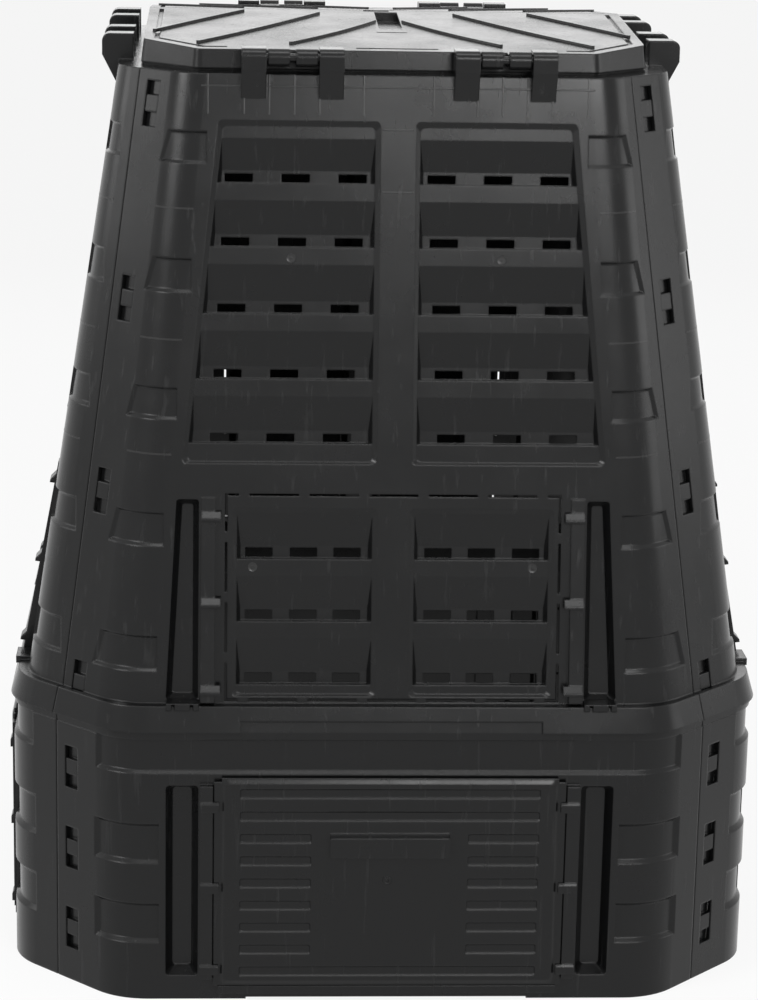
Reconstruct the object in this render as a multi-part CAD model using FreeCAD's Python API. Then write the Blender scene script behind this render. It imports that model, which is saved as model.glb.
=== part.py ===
import FreeCAD, Part
import math
import os

Vec = FreeCAD.Vector

# Ring of four base panels (millimetres, z = 0 is the ground)
RING_HALF = 397.0
RING_CUT = 115.0
RING_ROUND = 76.0
RING_TOP = 316.0
RING_WALL = 5.0
RING_SEAM = 0.57
BAND_HALF_LENGTH = RING_HALF - 92.0
BAND_LOW_OUT = RING_TOP - 67.0
BAND_HIGH = RING_TOP - 30.0
BAND_DEPTH = 4.0
BAND_LOW_IN = BAND_LOW_OUT + BAND_DEPTH
BAND_WALL = 4.0
BAND_BACK = 2.0
BAND_REACH = 3.0
RIM_STEP = 0.8
FOOT_NOTCH_HALF = 148.0
FOOT_NOTCH_HEIGHT = 2.0

# Zones of the leaning wall from its foot up: hatch, gap, louvred window, head
LEDGE_THICK = 5.0
HATCH_LIFT = 2.0
HATCH_HEIGHT = 213.0
WINDOW_GAP = 30.0
LOUVRE_STEPS = (21.0, 65.0, 66.0, 67.0, 64.0, 62.0)
HEAD_HEIGHT = 46.0
WALL_LOW = RING_TOP + LEDGE_THICK
HATCH_FOOT = WALL_LOW + HATCH_LIFT
HATCH_TOP = HATCH_FOOT + HATCH_HEIGHT
WINDOW_FOOT = HATCH_TOP + WINDOW_GAP
WINDOW_TOP = WINDOW_FOOT + sum(LOUVRE_STEPS)
WALL_TOP = WINDOW_TOP + HEAD_HEIGHT
WALL_HEIGHT = WALL_TOP - WALL_LOW

# Plan of the four leaning walls
WALL_INSET = 16.0
WALL_BATTER = 95.0
WALL_HALF_LOW = RING_HALF - WALL_INSET
WALL_HALF_TOP = WALL_HALF_LOW - WALL_BATTER
WALL_CUT_LOW = 100.0
WALL_CUT_TOP = 70.0
WALL_ROUND_LOW = 75.0
WALL_ROUND_TOP = 50.0
WALL_THICK = 5.0
WALL_SEAM_LOW = 0.60
WALL_SEAM_TOP = 0.66
SEAM_GAP = 1.2

# Skirt at the foot of each wall, lapping over the ring
SKIRT_LOW = RING_TOP - 22.0
SKIRT_HALF_LOW = RING_HALF + 3.0
SKIRT_HALF_TOP = RING_HALF - 5.0
SKIRT_THICK = 3.2
SKIRT_GAP = 0.4
SKIRT_NOTCH_HALF = 156.0
SKIRT_NOTCH_TOP = SKIRT_LOW + 12.0
SKIRT_NOTCH_DEPTH = 4.0

# Flange round the mouth on which the lid rests
FLANGE_THICK = 5.0
MOUTH_INSET = 36.0

# Lap and hooks that join neighbouring panels, heights as shares of the panel's height
LAP_GAP = 0.4
LAP_THICK = 3.5
LAP_REACH = 32.0
LAP_ROOT = 6.0
LAP_LEAD = 1.0
HOOK_INSET = 12.5
HOOK_SLOT_WIDTH = 19.0
HOOK_SLOT_HEIGHT = 46.0
HOOK_HEIGHT = 17.0
HOOK_CLEAR = 0.6
HOOK_SINK = 0.8
WALL_HOOKS = [WALL_LOW + share * WALL_HEIGHT for share in (0.011, 0.3263, 0.6368, 0.9465)]
RING_HOOKS = [share * RING_TOP for share in (0.1867, 0.4731, 0.7563)]
WALL_LAP_LOW = WALL_LOW + 6.0
WALL_LAP_TOP = WALL_TOP - 11.0
RING_LAP_LOW = 4.0
RING_LAP_TOP = BAND_HIGH - LAP_GAP

# Louvred windows of the leaning wall
WINDOW_INNER = 18.0
WINDOW_TO_CORNER = 38.3
WINDOW_ROUND = 5.0
WINDOW_RECESS = 3.5
WINDOW_BEVEL = 5.0
WINDOW_DRAFT = 5.5
WINDOW_SILL_RISE = 2.5
LOUVRE_DEPTH = 12.5
LOUVRE_THICK = 3.0
LOUVRE_FASCIA = 18.0
LOUVRE_WEB = 13.0
CHEEK = 3.0
VENT_WIDTH = 28.5
VENT_HEIGHT = 8.0
VENT_PITCH = 58.0
VENT_LIFT = 1.0
FRAME_SINK = 1.0

# Knock-out hatch in the middle of the leaning wall
HATCH_HALF = 173.0
HATCH_SLOT = 2.4
HATCH_BRIDGES_X = (30.5, 92.0, 153.5)
HATCH_BRIDGE = 11.0
HATCH_BRIDGES_Z = [HATCH_FOOT + share * HATCH_HEIGHT for share in (0.211, 0.502, 0.793)]
HATCH_WINDOW_INNER = 17.0
HATCH_WINDOW_OUTER = 165.5
HATCH_WINDOW_FOOT = HATCH_FOOT + 5.0
HATCH_WINDOW_TOP = HATCH_TOP - 15.0
HATCH_LOUVRE_SHARES = (0.062, 0.399, 0.731)
HATCH_HEAD_FASCIA = 6.0
HATCH_VENTS = (47.0, 92.0, 138.0)
HATCH_VENT_WIDTH = 28.0
HATCH_VENT_HEIGHT = 9.5

# Guide rails beside the knock-out hatch, prouder towards the foot
GUIDE_INNER = 183.0
GUIDE_OUTER = 197.5
GUIDE_TOP = HATCH_TOP - 4.0
GUIDE_FOOT = HATCH_FOOT - 0.5
GUIDE_PROUD_TOP = 1.5
GUIDE_PROUD_FOOT = 9.5
GUIDE_TABS = (HATCH_FOOT + 8.0, (HATCH_FOOT + HATCH_TOP) / 2 - 9.5, HATCH_TOP - 28.0)
TAB_HEIGHT = 11.0
TAB_PROUD = 5.0
TAB_INNER = 176.8
TAB_NOSE = 3.0
GUIDE_ROOT = 2.0

# Tall pockets beside the rails
TALL_INNER = 199.5
TALL_TOP_OUTER = 223.0
TALL_FOOT_OUTER = 233.0
TALL_TOP = HATCH_TOP - 6.0
TALL_FOOT = HATCH_FOOT + 1.0
TALL_DEPTH = 13.0
TALL_TAPER = 6.0
TALL_ROUND = 3.0
POCKET_WALL = 3.0

# Pockets in the rounded corners: foot as a share of the panel's height, height,
# then the reach from the corner line inwards and outwards
WALL_POCKETS = (
    (0.8585, 33.0, 29.5, 14.5),
    (0.6557, 35.0, 27.6, 16.4),
    (0.4544, 33.0, 26.8, 21.2),
    (0.2516, 35.0, 26.9, 26.1),
    (0.0503, 37.0, 33.8, 29.5),
)
RING_POCKETS = (
    (0.4747, 45.0, 42.5, 25.0),
    (0.1962, 45.0, 42.5, 25.0),
)
WALL_POCKET_DEPTH = 3.0
RING_POCKET_DEPTH = 4.5
POCKET_ROOT = 2.0
POCKET_PROUD = 2.0

# Snap latches on the ledge
LATCH_INNER = 199.0
LATCH_OUTER = 232.5
LATCH_HALF_REACH = RING_HALF - 1.0
LATCH_FOOT = WALL_LOW - 3.5
LATCH_TOP = WALL_LOW + 4.0
LATCH_SLOT = 3.6
LATCH_TONGUE = 15.5
LATCH_SLOT_DEPTH = 8.0
LATCH_HEAD = 1.2
LATCH_ROOT = 4.0

# Lid, two equal flaps meeting at a ridge
LID_EDGE_INSET = 23.0
LID_HALF = WALL_HALF_TOP - LID_EDGE_INSET
LID_CUT = 58.0
LID_ROUND = 14.0
LID_ROUND_LEAST = 2.0
LID_FOOT = WALL_TOP
LID_FRONT_TOP = LID_FOOT + 22.0
LID_RIDGE_TOP = LID_FRONT_TOP + 19.0
LID_THICK = 3.5
LID_LEAN = 0.12
LID_JOINT_GAP = 1.0
LID_RIDGE_WALL_FOOT = LID_RIDGE_TOP - 20.0
LID_REBATE_DEPTH = 2.0
LID_REBATE_HEIGHT = 2.5
BORDER_GROOVE_INSET = 11.0
BORDER_GROOVE_WIDTH = 5.0
BORDER_GROOVE_DEPTH = 2.2
BORDER_RAISED_HALF = (42.0, 174.0)
RIB_HEIGHT = 2.4
RIB_WIDTH = 3.4
RIB_SINK = 1.0
LID_RIBS = (
    ((0.951, 0.601), (0.783, 0.350), (0.593, 0.076)),
    ((0.776, 0.859), (0.532, 0.517), (0.281, 0.114)),
    ((0.414, 0.859), (0.232, 0.608), (0.057, 0.304)),
)
SCOOP_HALF = 12.5
SCOOP_FAR = -14.0
SCOOP_NEAR = -128.0
SCOOP_DEPTH = 11.0
SCOOP_EYE = 9.0
SCOOP_EYE_WALL = 4.0
SCOOP_EYE_LIFT = 1.5
SCOOP_EYE_HEIGHT = 3.0
SCOOP_SKIM = 0.01
TRAY_NEAR = -146.0
TRAY_SINK = 1.0
GRIP_NOTCH_X = (-24.0, 4.0)
GRIP_NOTCH_Y = 9.0
GRIP_NOTCH_DEPTH = 4.0

# Hinge pins and knuckles
PIN_Z = LID_FOOT + 17.5
PIN_Y = LID_HALF + 29.5
PIN_RADIUS = 4.0
PIN_BORE_CLEAR = 0.08
KNUCKLE_RADIUS = 9.0
KNUCKLE_WIDTH = 22.0
KNUCKLE_STARTS = (82.5, 111.0)
KNUCKLE_ARM_LOW = PIN_Z - KNUCKLE_RADIUS
KNUCKLE_ARM_TOP = PIN_Z + 5.5
PIN_END_SINK = 3.0
PIN_END_PLAY = 0.4

# Hinge lugs on the wall top
LUG_STARTS = (56.0, 134.5)
LUG_WIDTH = 25.0
LUG_TOP = PIN_Z + 9.5
LUG_FRONT = PIN_Y + 12.0
LUG_BACK = PIN_Y - 21.0
LUG_SHOULDER = WALL_TOP + 5.0
LUG_TOE = WALL_TOP - 24.0
LUG_NOSE = 8.0
LUG_SINK = 2.0
LUG_BACK_SINK = 3.0

# Doorway and sliding door of each base panel
DOORWAY_HALF = 158.0
DOORWAY_FOOT = 30.0
DOORWAY_TOP = BAND_LOW_OUT - 15.0
DOOR_GAP = 0.4
DOOR_BACK = SKIRT_HALF_LOW + DOOR_GAP
DOOR_PLATE = 2.4
DOOR_FACE = DOOR_BACK + 4.6
DOOR_FLANGE_HALF = 182.4
DOOR_FOOT = 17.0
DOOR_TOP = BAND_LOW_OUT - 2.0
DOOR_FLANGE_TOP = DOOR_TOP - 4.0
DOOR_PANEL_TOP_HALF = 174.5
DOOR_PANEL_FOOT_HALF = 176.0
DOOR_BEVEL = 6.0
DOOR_BEVEL_SIDE = 3.6
DOOR_PANEL_FOOT = DOOR_FOOT + 1.0
DOOR_ROUND = 5.0
DOOR_GROOVE_DEPTH = 2.0
DOOR_GROOVE_TAPER = 1.5
DOOR_GROOVE_ROUND = 2.0
DOOR_GROOVE_HEIGHT = 11.0
DOOR_GROOVE_COUNT = 9
DOOR_GROOVE_LOW = DOOR_FOOT + 11.5
DOOR_GROOVE_HIGH = DOOR_TOP - 22.0
DOOR_WIDE_GROOVES = (0, 7, 8)
DOOR_WIDE_HALF = 156.0
DOOR_SHORT_INNER = 81.0
LIP_HALF = 62.0
LIP_FOOT = DOOR_TOP - 85.0
LIP_TOP = DOOR_TOP - 59.0
LIP_REACH = 7.5
LIP_TUCK = 2.0
LIP_TOP_FALL = 4.0
SILL_HALF = 178.0
SILL_HEIGHT = 9.0
SILL_FOOT = DOOR_FOOT - SILL_HEIGHT
SILL_REACH = DOOR_BACK + 2.8

# Rails and tabs of the sliding door
RAIL_INNER = 183.6
RAIL_OUTER = 197.0
RAIL_FOOT = DOOR_FOOT + 7.0
RAIL_TOP = DOOR_TOP - 9.0
RAIL_FACE = DOOR_BACK + 2.8
RAIL_TABS = (RAIL_FOOT + 6.0, (RAIL_FOOT + RAIL_TOP) / 2 - 10.0, RAIL_TOP - 28.0)
RAIL_TAB_BACK = RAIL_FACE + 0.2
RAIL_TAB_FACE = RAIL_TAB_BACK + 2.2
RAIL_TAB_INNER = 177.2
RAIL_TAB_HEAD = 0.6
RAIL_TAB_ROOT = 0.2
RAIL_ROOT = 2.0

# Deep pockets beside the door rails
DEEP_INNER = 198.5
DEEP_OUTER = 232.5
DEEP_FOOT = DOOR_FOOT + 9.0
DEEP_TOP = DOOR_TOP - 10.0
DEEP_DEPTH = 16.0
DEEP_TAPER = 7.0
DEEP_ROUND = 4.0

# Construction allowances: through cuts, cuts past a face, joins into a body
OUTSIDE = 20.0
PAST = 1.0
SINK = 0.5
SECTOR_OUT = 30.0
SECTOR_IN = 90.0
SECTOR_FRONT = 60.0

ROOT_TWO = math.sqrt(2.0)
INSET_TO_CUT = 2.0 - ROOT_TWO


def rounded(corners, radius):
    """Closed polygon with every corner rounded."""
    ends = []
    for index, corner in enumerate(corners):
        before = (corner - corners[index - 1]).normalize()
        after = (corners[(index + 1) % len(corners)] - corner).normalize()
        half_turn = before.getAngle(after) / 2
        inward = (after - before).normalize()
        centre = corner + inward * (radius / math.cos(half_turn))
        tangent = radius * math.tan(half_turn)
        ends.append((corner - before * tangent, centre - inward * radius, corner + after * tangent))
    edges = []
    for index, (start, middle, stop) in enumerate(ends):
        previous_stop = ends[index - 1][2]
        edges.append(Part.makeLine(previous_stop, start))
        edges.append(Part.Arc(start, middle, stop).toShape())
    return Part.Wire(edges)


def outline(half, cut, radius, z):
    """Octagon with rounded corners at height z."""
    reach = half - cut
    return rounded([
        Vec(reach, -half, z), Vec(half, -reach, z), Vec(half, reach, z), Vec(reach, half, z),
        Vec(-reach, half, z), Vec(-half, reach, z), Vec(-half, -reach, z), Vec(-reach, -half, z),
    ], radius)


def frustum(low, high):
    """Solid between two outlines given as (half, cut, radius, z)."""
    return Part.makeLoft([outline(*low), outline(*high)], True, True)


def ring_outline(inset, z):
    return (RING_HALF - inset, RING_CUT - INSET_TO_CUT * inset, RING_ROUND - inset, z)


def wall_size(z):
    share = (z - WALL_LOW) / WALL_HEIGHT
    half = WALL_HALF_LOW - WALL_BATTER * share
    cut = WALL_CUT_LOW + (WALL_CUT_TOP - WALL_CUT_LOW) * share
    radius = WALL_ROUND_LOW + (WALL_ROUND_TOP - WALL_ROUND_LOW) * share
    return half, cut, radius


def corner_line(section, z):
    """Distance of the corner line from the middle of a side."""
    half, cut = section(0.0, z)[:2]
    return half - cut


def wall_outline(inset, z):
    half, cut, radius = wall_size(z)
    return (half - inset, cut - INSET_TO_CUT * inset, radius - inset, z)


def layer(section, near, far, low, high):
    """Shell between two insets of an outline family, from height low to high."""
    outer = frustum(section(near, low), section(near, high))
    inner = frustum(section(far, low), section(far, high))
    return outer.cut(inner)


def box(x0, x1, y0, y1, z0, z1):
    return Part.makeBox(x1 - x0, y1 - y0, z1 - z0, Vec(x0, y0, z0))


def prism(points, direction):
    """Straight extrusion of a closed polygon given as vectors."""
    wire = Part.makePolygon(list(points) + [points[0]])
    return Part.Face(wire).extrude(direction)


def side_profile(points, x0, x1):
    """Polygon of (outward y, z) pairs extruded along x; outward is towards the front."""
    return prism([Vec(x0, -reach, z) for reach, z in points], Vec(x1 - x0, 0, 0))


def both_sides(shape):
    return [shape, shape.mirror(Vec(0, 0, 0), Vec(1, 0, 0))]


def in_pairs(shapes):
    return [piece for shape in shapes for piece in both_sides(shape)]


def turned(shape, angle):
    copy = shape.copy()
    copy.rotate(Vec(0, 0, 0), Vec(0, 0, 1), angle)
    return copy


def wall_seam(z):
    share = (z - WALL_LOW) / WALL_HEIGHT
    return WALL_SEAM_LOW + (WALL_SEAM_TOP - WALL_SEAM_LOW) * share


def ring_seam(z):
    return RING_SEAM


def seam_point(half, cut, share, z, shift=0.0):
    """Point on the front left corner face, share of its length from the front."""
    along = cut * share + shift / ROOT_TWO
    return Vec(-(half - cut) - along, -half + along, z)


def sector(section, seam, low, high, start_shift, end_shift, only_lap=False):
    """Region between seam planes used to part the full shells into panels."""
    wires = []
    inward = Vec(1, 1, 0).normalize()
    for z in (low, high):
        half, cut = section(0.0, z)[:2]
        left = seam_point(half, cut, seam(z), z, start_shift)
        if only_lap:
            right = seam_point(half, cut, seam(z), z, end_shift)
            points = [
                left + inward * SECTOR_FRONT, left - inward * SECTOR_OUT,
                right - inward * SECTOR_OUT, right + inward * SECTOR_FRONT,
            ]
        else:
            corner = seam_point(half, cut, seam(z), z, end_shift)
            right = Vec(-corner.y, corner.x, z)
            inward_right = Vec(-1, 1, 0).normalize()
            out_left = left - inward * SECTOR_OUT
            out_right = right - inward_right * SECTOR_OUT
            front = -(half + SECTOR_FRONT)
            points = [
                left + inward * SECTOR_IN, out_left, Vec(out_left.x, front, z),
                Vec(out_right.x, front, z), out_right, right + inward_right * SECTOR_IN,
            ]
        wires.append(Part.makePolygon(points + [points[0]]))
    return Part.makeLoft(wires, True, True)


LEAN = math.atan2(WALL_BATTER, WALL_HEIGHT)


def slope(z):
    """Distance along the leaning face for a real height z."""
    return (z - WALL_LOW) / math.cos(LEAN)


def on_wall(shape):
    """Move a shape modelled on an upright face (outward -y) onto the leaning face."""
    shape.rotate(Vec(0, 0, 0), Vec(1, 0, 0), -math.degrees(LEAN))
    shape.translate(Vec(0, -WALL_HALF_LOW, WALL_LOW))
    return shape


def drafted(inner, outer_low, outer_top, foot, top, radius, stages):
    """Block on an upright face, narrowing inwards; stages are (depth, inset, rise of the foot)."""
    wires = []
    for depth, inset, rise in stages:
        wires.append(rounded([
            Vec(inner + inset, depth, foot + rise), Vec(outer_low - inset, depth, foot + rise),
            Vec(outer_top - inset, depth, top - inset), Vec(inner + inset, depth, top - inset),
        ], radius))
    return Part.makeLoft(wires, True, True)


def pocket(inner, outer_low, outer_top, foot, top, radius, depth, taper):
    """Returns a tapered hollow and the casing that closes it from behind."""
    size = (inner, outer_low, outer_top, foot, top, radius)
    hollow = drafted(*size, ((-POCKET_PROUD, 0.0, 0.0), (0.0, 0.0, 0.0), (depth, taper, taper)))
    casing = drafted(*size, (
        (FRAME_SINK, -POCKET_WALL, -POCKET_WALL),
        (depth + POCKET_WALL, taper - POCKET_WALL, taper - POCKET_WALL)))
    return hollow, casing


def louvre_sheet(top, head_fascia, ledges, foot, x0, x1):
    """Sheet of fascias, faces sinking inwards, webs with the vents and ledges, from the top down."""
    front = WINDOW_RECESS
    deep = LOUVRE_DEPTH
    start = slope(top)
    fascia = head_fascia
    outer = [(front, start)]
    inner = [(front + LOUVRE_THICK, start)]
    for level in ledges:
        v = slope(level)
        outer += [(front, start - fascia), (deep, v + LOUVRE_WEB), (deep, v), (front, v)]
        inner += [
            (front + LOUVRE_THICK, start - fascia), (deep + LOUVRE_THICK, v + LOUVRE_WEB),
            (deep + LOUVRE_THICK, v - LOUVRE_THICK), (front + LOUVRE_THICK, v - LOUVRE_THICK),
        ]
        start = v
        fascia = LOUVRE_FASCIA
    outer.append((front, slope(foot)))
    inner.append((front + LOUVRE_THICK, slope(foot)))
    points = [Vec(x0, depth, v) for depth, v in outer + inner[::-1]]
    return prism(points, Vec(x1 - x0, 0, 0))


def louvred_window(inner, outer_low, outer_top, top, foot, head_fascia, ledges, vents, width, height):
    """Returns the opening to cut and the louvred insert for one window on the +x side."""
    size = (inner, outer_low, outer_top, slope(foot), slope(top), WINDOW_ROUND)
    deep = LOUVRE_DEPTH + LOUVRE_THICK
    inset = WINDOW_BEVEL + WINDOW_DRAFT
    opening = drafted(*size, (
        (-PAST, 0.0, 0.0), (0.0, 0.0, 0.0), (WINDOW_RECESS, WINDOW_BEVEL, WINDOW_SILL_RISE),
        (deep + PAST, inset, 2 * WINDOW_SILL_RISE)))
    casing = drafted(*size, (
        (FRAME_SINK, -CHEEK, -CHEEK), (deep, inset - CHEEK, 2 * WINDOW_SILL_RISE - CHEEK)))
    sheet = louvre_sheet(top, head_fascia, ledges, foot, inner - CHEEK, outer_low + CHEEK).common(casing)
    slots = []
    for level in ledges:
        v = slope(level) + VENT_LIFT
        for centre in vents(level):
            slots.append(box(
                centre - width / 2, centre + width / 2, WINDOW_RECESS + LOUVRE_THICK, deep + PAST,
                v, v + height))
    return opening, casing.cut(opening).fuse(sheet).cut(slots)


def window_outer(level):
    """The window's outer edge runs beside the corner line."""
    return corner_line(wall_outline, level) - WINDOW_TO_CORNER


def wall_vents(level):
    middle = (WINDOW_INNER + window_outer(level)) / 2
    return [middle - VENT_PITCH, middle, middle + VENT_PITCH]


def hatch_vents(level):
    return HATCH_VENTS


def corner_shells(section, pockets, low, height, near, far, spread):
    """Pieces of shell at the stepped pockets of the front right corner, spread past their edges."""
    shells = []
    for share, rise, inward, outward in pockets:
        foot = low + share * height
        top = foot + rise
        line = corner_line(section, (foot + top) / 2)
        shell = layer(section, near, far, foot - spread, top + spread)
        shells.append(shell.common(box(
            line - inward - spread, line + outward + spread, -RING_HALF - OUTSIDE, -RING_HALF / 2,
            foot - OUTSIDE, top + OUTSIDE)))
    return shells


def girdle(section, depth, foot, top):
    """Recess right round an outline family, its floor and ceiling sloping at 45 degrees."""
    block = frustum(section(-POCKET_PROUD, foot), section(-POCKET_PROUD, top))
    return block.cut([
        frustum(section(0.0, foot), section(depth, foot + depth)),
        frustum(section(depth, foot + depth), section(depth, top - depth)),
        frustum(section(depth, top - depth), section(0.0, top)),
    ])


def corner_hollows(section, pockets, low, height, depth):
    """Pockets of the two rounded corners; the outer end of each one faces the front."""
    hollows = []
    for share, rise, inward, outward in pockets:
        foot = low + share * height
        half, cut = section(0.0, foot + rise / 2)[:2]
        hollows.append(girdle(section, depth, foot, foot + rise).common(box(
            half - cut - inward, RING_HALF, -RING_HALF - OUTSIDE, -half + outward,
            foot - PAST, foot + rise + PAST)))
    return in_pairs(hollows)


def lap(section, seam, low, high, hooks, wall, pocket_room):
    """Tongue under the front left edge, with hooks; it belongs to the left-hand neighbour."""
    inner = wall + LAP_GAP
    sheet = layer(section, inner, inner + LAP_THICK, low, high)
    root = layer(section, SINK, inner + LAP_THICK, low, high)
    tongue = sheet.common(sector(section, seam, low, high, -LAP_REACH, SEAM_GAP + LAP_LEAD, True))
    if pocket_room:
        tongue = tongue.cut([both_sides(room)[1] for room in pocket_room])
    joint = root.common(sector(section, seam, low, high, SEAM_GAP, SEAM_GAP + LAP_ROOT, True))
    pieces = [tongue, joint]
    inset = HOOK_INSET + HOOK_CLEAR
    for middle in hooks:
        foot = middle - HOOK_HEIGHT / 2
        top = middle + HOOK_HEIGHT / 2
        block = layer(section, HOOK_SINK, inner + PAST, foot, top)
        width = HOOK_SLOT_WIDTH - 2 * HOOK_CLEAR
        pieces.append(block.common(sector(section, seam, foot, top, -inset - width, -inset, True)))
    return pieces[0].fuse(pieces[1:])


def hook_slots(section, seam, hooks):
    cuts = []
    for middle in hooks:
        foot = middle - HOOK_SLOT_HEIGHT / 2
        top = middle + HOOK_SLOT_HEIGHT / 2
        cuts.append(sector(
            section, seam, foot, top, -HOOK_INSET - HOOK_SLOT_WIDTH, -HOOK_INSET, True).common(
            layer(section, -POCKET_PROUD, RING_WALL + LAP_GAP / 2, foot, top)))
    return cuts


def hatch_slots():
    """Dashed slot round the knock-out hatch, on the leaning face."""
    half = HATCH_HALF
    low = slope(HATCH_FOOT)
    high = slope(HATCH_TOP)
    slots = [
        box(-half, half, -PAST, OUTSIDE, high - HATCH_SLOT, high),
        box(-half, half, -PAST, OUTSIDE, low, low + HATCH_SLOT),
    ]
    slots += both_sides(box(half - HATCH_SLOT, half, -PAST, OUTSIDE, low, high))
    bridges = []
    for x in HATCH_BRIDGES_X:
        bridges += both_sides(box(
            x - HATCH_BRIDGE / 2, x + HATCH_BRIDGE / 2, -2 * PAST, OUTSIDE + PAST, low - PAST, high + PAST))
    for z in HATCH_BRIDGES_Z:
        v = slope(z)
        bridges.append(box(
            -half - PAST, half + PAST, -2 * PAST, OUTSIDE + PAST,
            v - HATCH_BRIDGE / 2, v + HATCH_BRIDGE / 2))
    whole = slots[0].fuse(slots[1:])
    return whole.cut(bridges)


def guide_rails():
    """Rails with hook tabs beside the knock-out hatch."""
    pieces = []
    top = slope(GUIDE_TOP)
    foot = slope(GUIDE_FOOT)

    def proud(v):
        return GUIDE_PROUD_TOP + (GUIDE_PROUD_FOOT - GUIDE_PROUD_TOP) * (top - v) / (top - foot)

    strip = [(-GUIDE_ROOT, foot), (GUIDE_PROUD_FOOT, foot), (GUIDE_PROUD_TOP, top), (-GUIDE_ROOT, top)]
    pieces.append(side_profile(strip, GUIDE_INNER, GUIDE_OUTER))
    for level in GUIDE_TABS:
        v = slope(level)
        high = v + TAB_HEIGHT
        tab = [
            (proud(v) - SINK, v), (proud(v) + TAB_PROUD, v),
            (proud(v) + TAB_PROUD, v + TAB_NOSE), (proud(high) - SINK, high),
        ]
        pieces.append(side_profile(tab, TAB_INNER, GUIDE_OUTER))
    merged = pieces[0].fuse(pieces[1:])
    return both_sides(merged)


def hinge_lug(x0):
    """Lug with a gusset running down into the wall."""
    inset = wall_size(LUG_TOE)[0]
    points = [
        (LUG_BACK, WALL_TOP - LUG_SINK), (WALL_HALF_TOP - LUG_BACK_SINK, WALL_TOP - LUG_SINK),
        (inset - LUG_SINK, LUG_TOE),
        (inset, LUG_TOE), (LUG_FRONT, LUG_SHOULDER), (LUG_FRONT, LUG_TOP), (LUG_BACK, LUG_TOP),
    ]
    body = side_profile(points, x0, x0 + LUG_WIDTH)
    corner = box(
        x0 - PAST, x0 + LUG_WIDTH + PAST, -LUG_FRONT - PAST, -LUG_FRONT + LUG_NOSE,
        LUG_TOP - LUG_NOSE, LUG_TOP + PAST)
    nose = Part.makeCylinder(
        LUG_NOSE, LUG_WIDTH + 4 * PAST, Vec(x0 - 2 * PAST, -LUG_FRONT + LUG_NOSE, LUG_TOP - LUG_NOSE),
        Vec(1, 0, 0))
    return body.cut(corner.cut(nose))


def pin_bore(x0, x1):
    return Part.makeCylinder(PIN_RADIUS + PIN_BORE_CLEAR, x1 - x0, Vec(x0, -PIN_Y, PIN_Z), Vec(1, 0, 0))


def hinge_lugs():
    inner, outer = LUG_STARTS
    lugs = [hinge_lug(inner), hinge_lug(outer)]
    bore = pin_bore(inner + PIN_END_SINK, outer + LUG_WIDTH - PIN_END_SINK)
    pair = lugs[0].fuse(lugs[1]).cut(bore)
    return both_sides(pair)


def snap_latch():
    """Latch block on the ledge with a tongue between two slots."""
    block = box(
        LATCH_INNER, LATCH_OUTER, -LATCH_HALF_REACH, -WALL_HALF_LOW + LATCH_ROOT, LATCH_FOOT, LATCH_TOP)
    middle = (LATCH_INNER + LATCH_OUTER) / 2
    cuts = []
    for side in (-1, 1):
        x = middle + side * (LATCH_TONGUE + LATCH_SLOT) / 2
        cuts.append(box(
            x - LATCH_SLOT / 2, x + LATCH_SLOT / 2, -LATCH_HALF_REACH - PAST,
            -LATCH_HALF_REACH + LATCH_SLOT_DEPTH, LATCH_FOOT - PAST, LATCH_TOP - LATCH_HEAD))
    return both_sides(block.cut(cuts + [skirt_hollow()]))


SKIRT_INSET = RING_HALF - SKIRT_HALF_LOW
SKIRT_FALL = (SKIRT_HALF_LOW - SKIRT_HALF_TOP) / (WALL_LOW - SKIRT_LOW)


def skirt_inset(z):
    """Inset of the skirt's sloping outer face from the ring's outline."""
    return SKIRT_INSET + SKIRT_FALL * (z - SKIRT_LOW)


def skirt_hollow():
    low = SKIRT_LOW - PAST
    return frustum(
        ring_outline(skirt_inset(low) + SKIRT_THICK, low),
        ring_outline(skirt_inset(RING_TOP) + SKIRT_THICK, RING_TOP))


def full_wall_shell():
    """All four walls as one shell, before it is parted at the seams."""
    outer = frustum(wall_outline(0.0, RING_TOP), wall_outline(0.0, WALL_TOP))
    skirt = frustum(
        ring_outline(skirt_inset(SKIRT_LOW), SKIRT_LOW), ring_outline(skirt_inset(WALL_LOW), WALL_LOW))
    hollow = frustum(
        wall_outline(WALL_THICK, RING_TOP - PAST), wall_outline(WALL_THICK, WALL_TOP - FLANGE_THICK))
    mouth = frustum(
        wall_outline(MOUTH_INSET, WALL_TOP - OUTSIDE), wall_outline(MOUTH_INSET, WALL_TOP + PAST))
    return outer.fuse(skirt).cut([skirt_hollow(), hollow, mouth])


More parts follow.
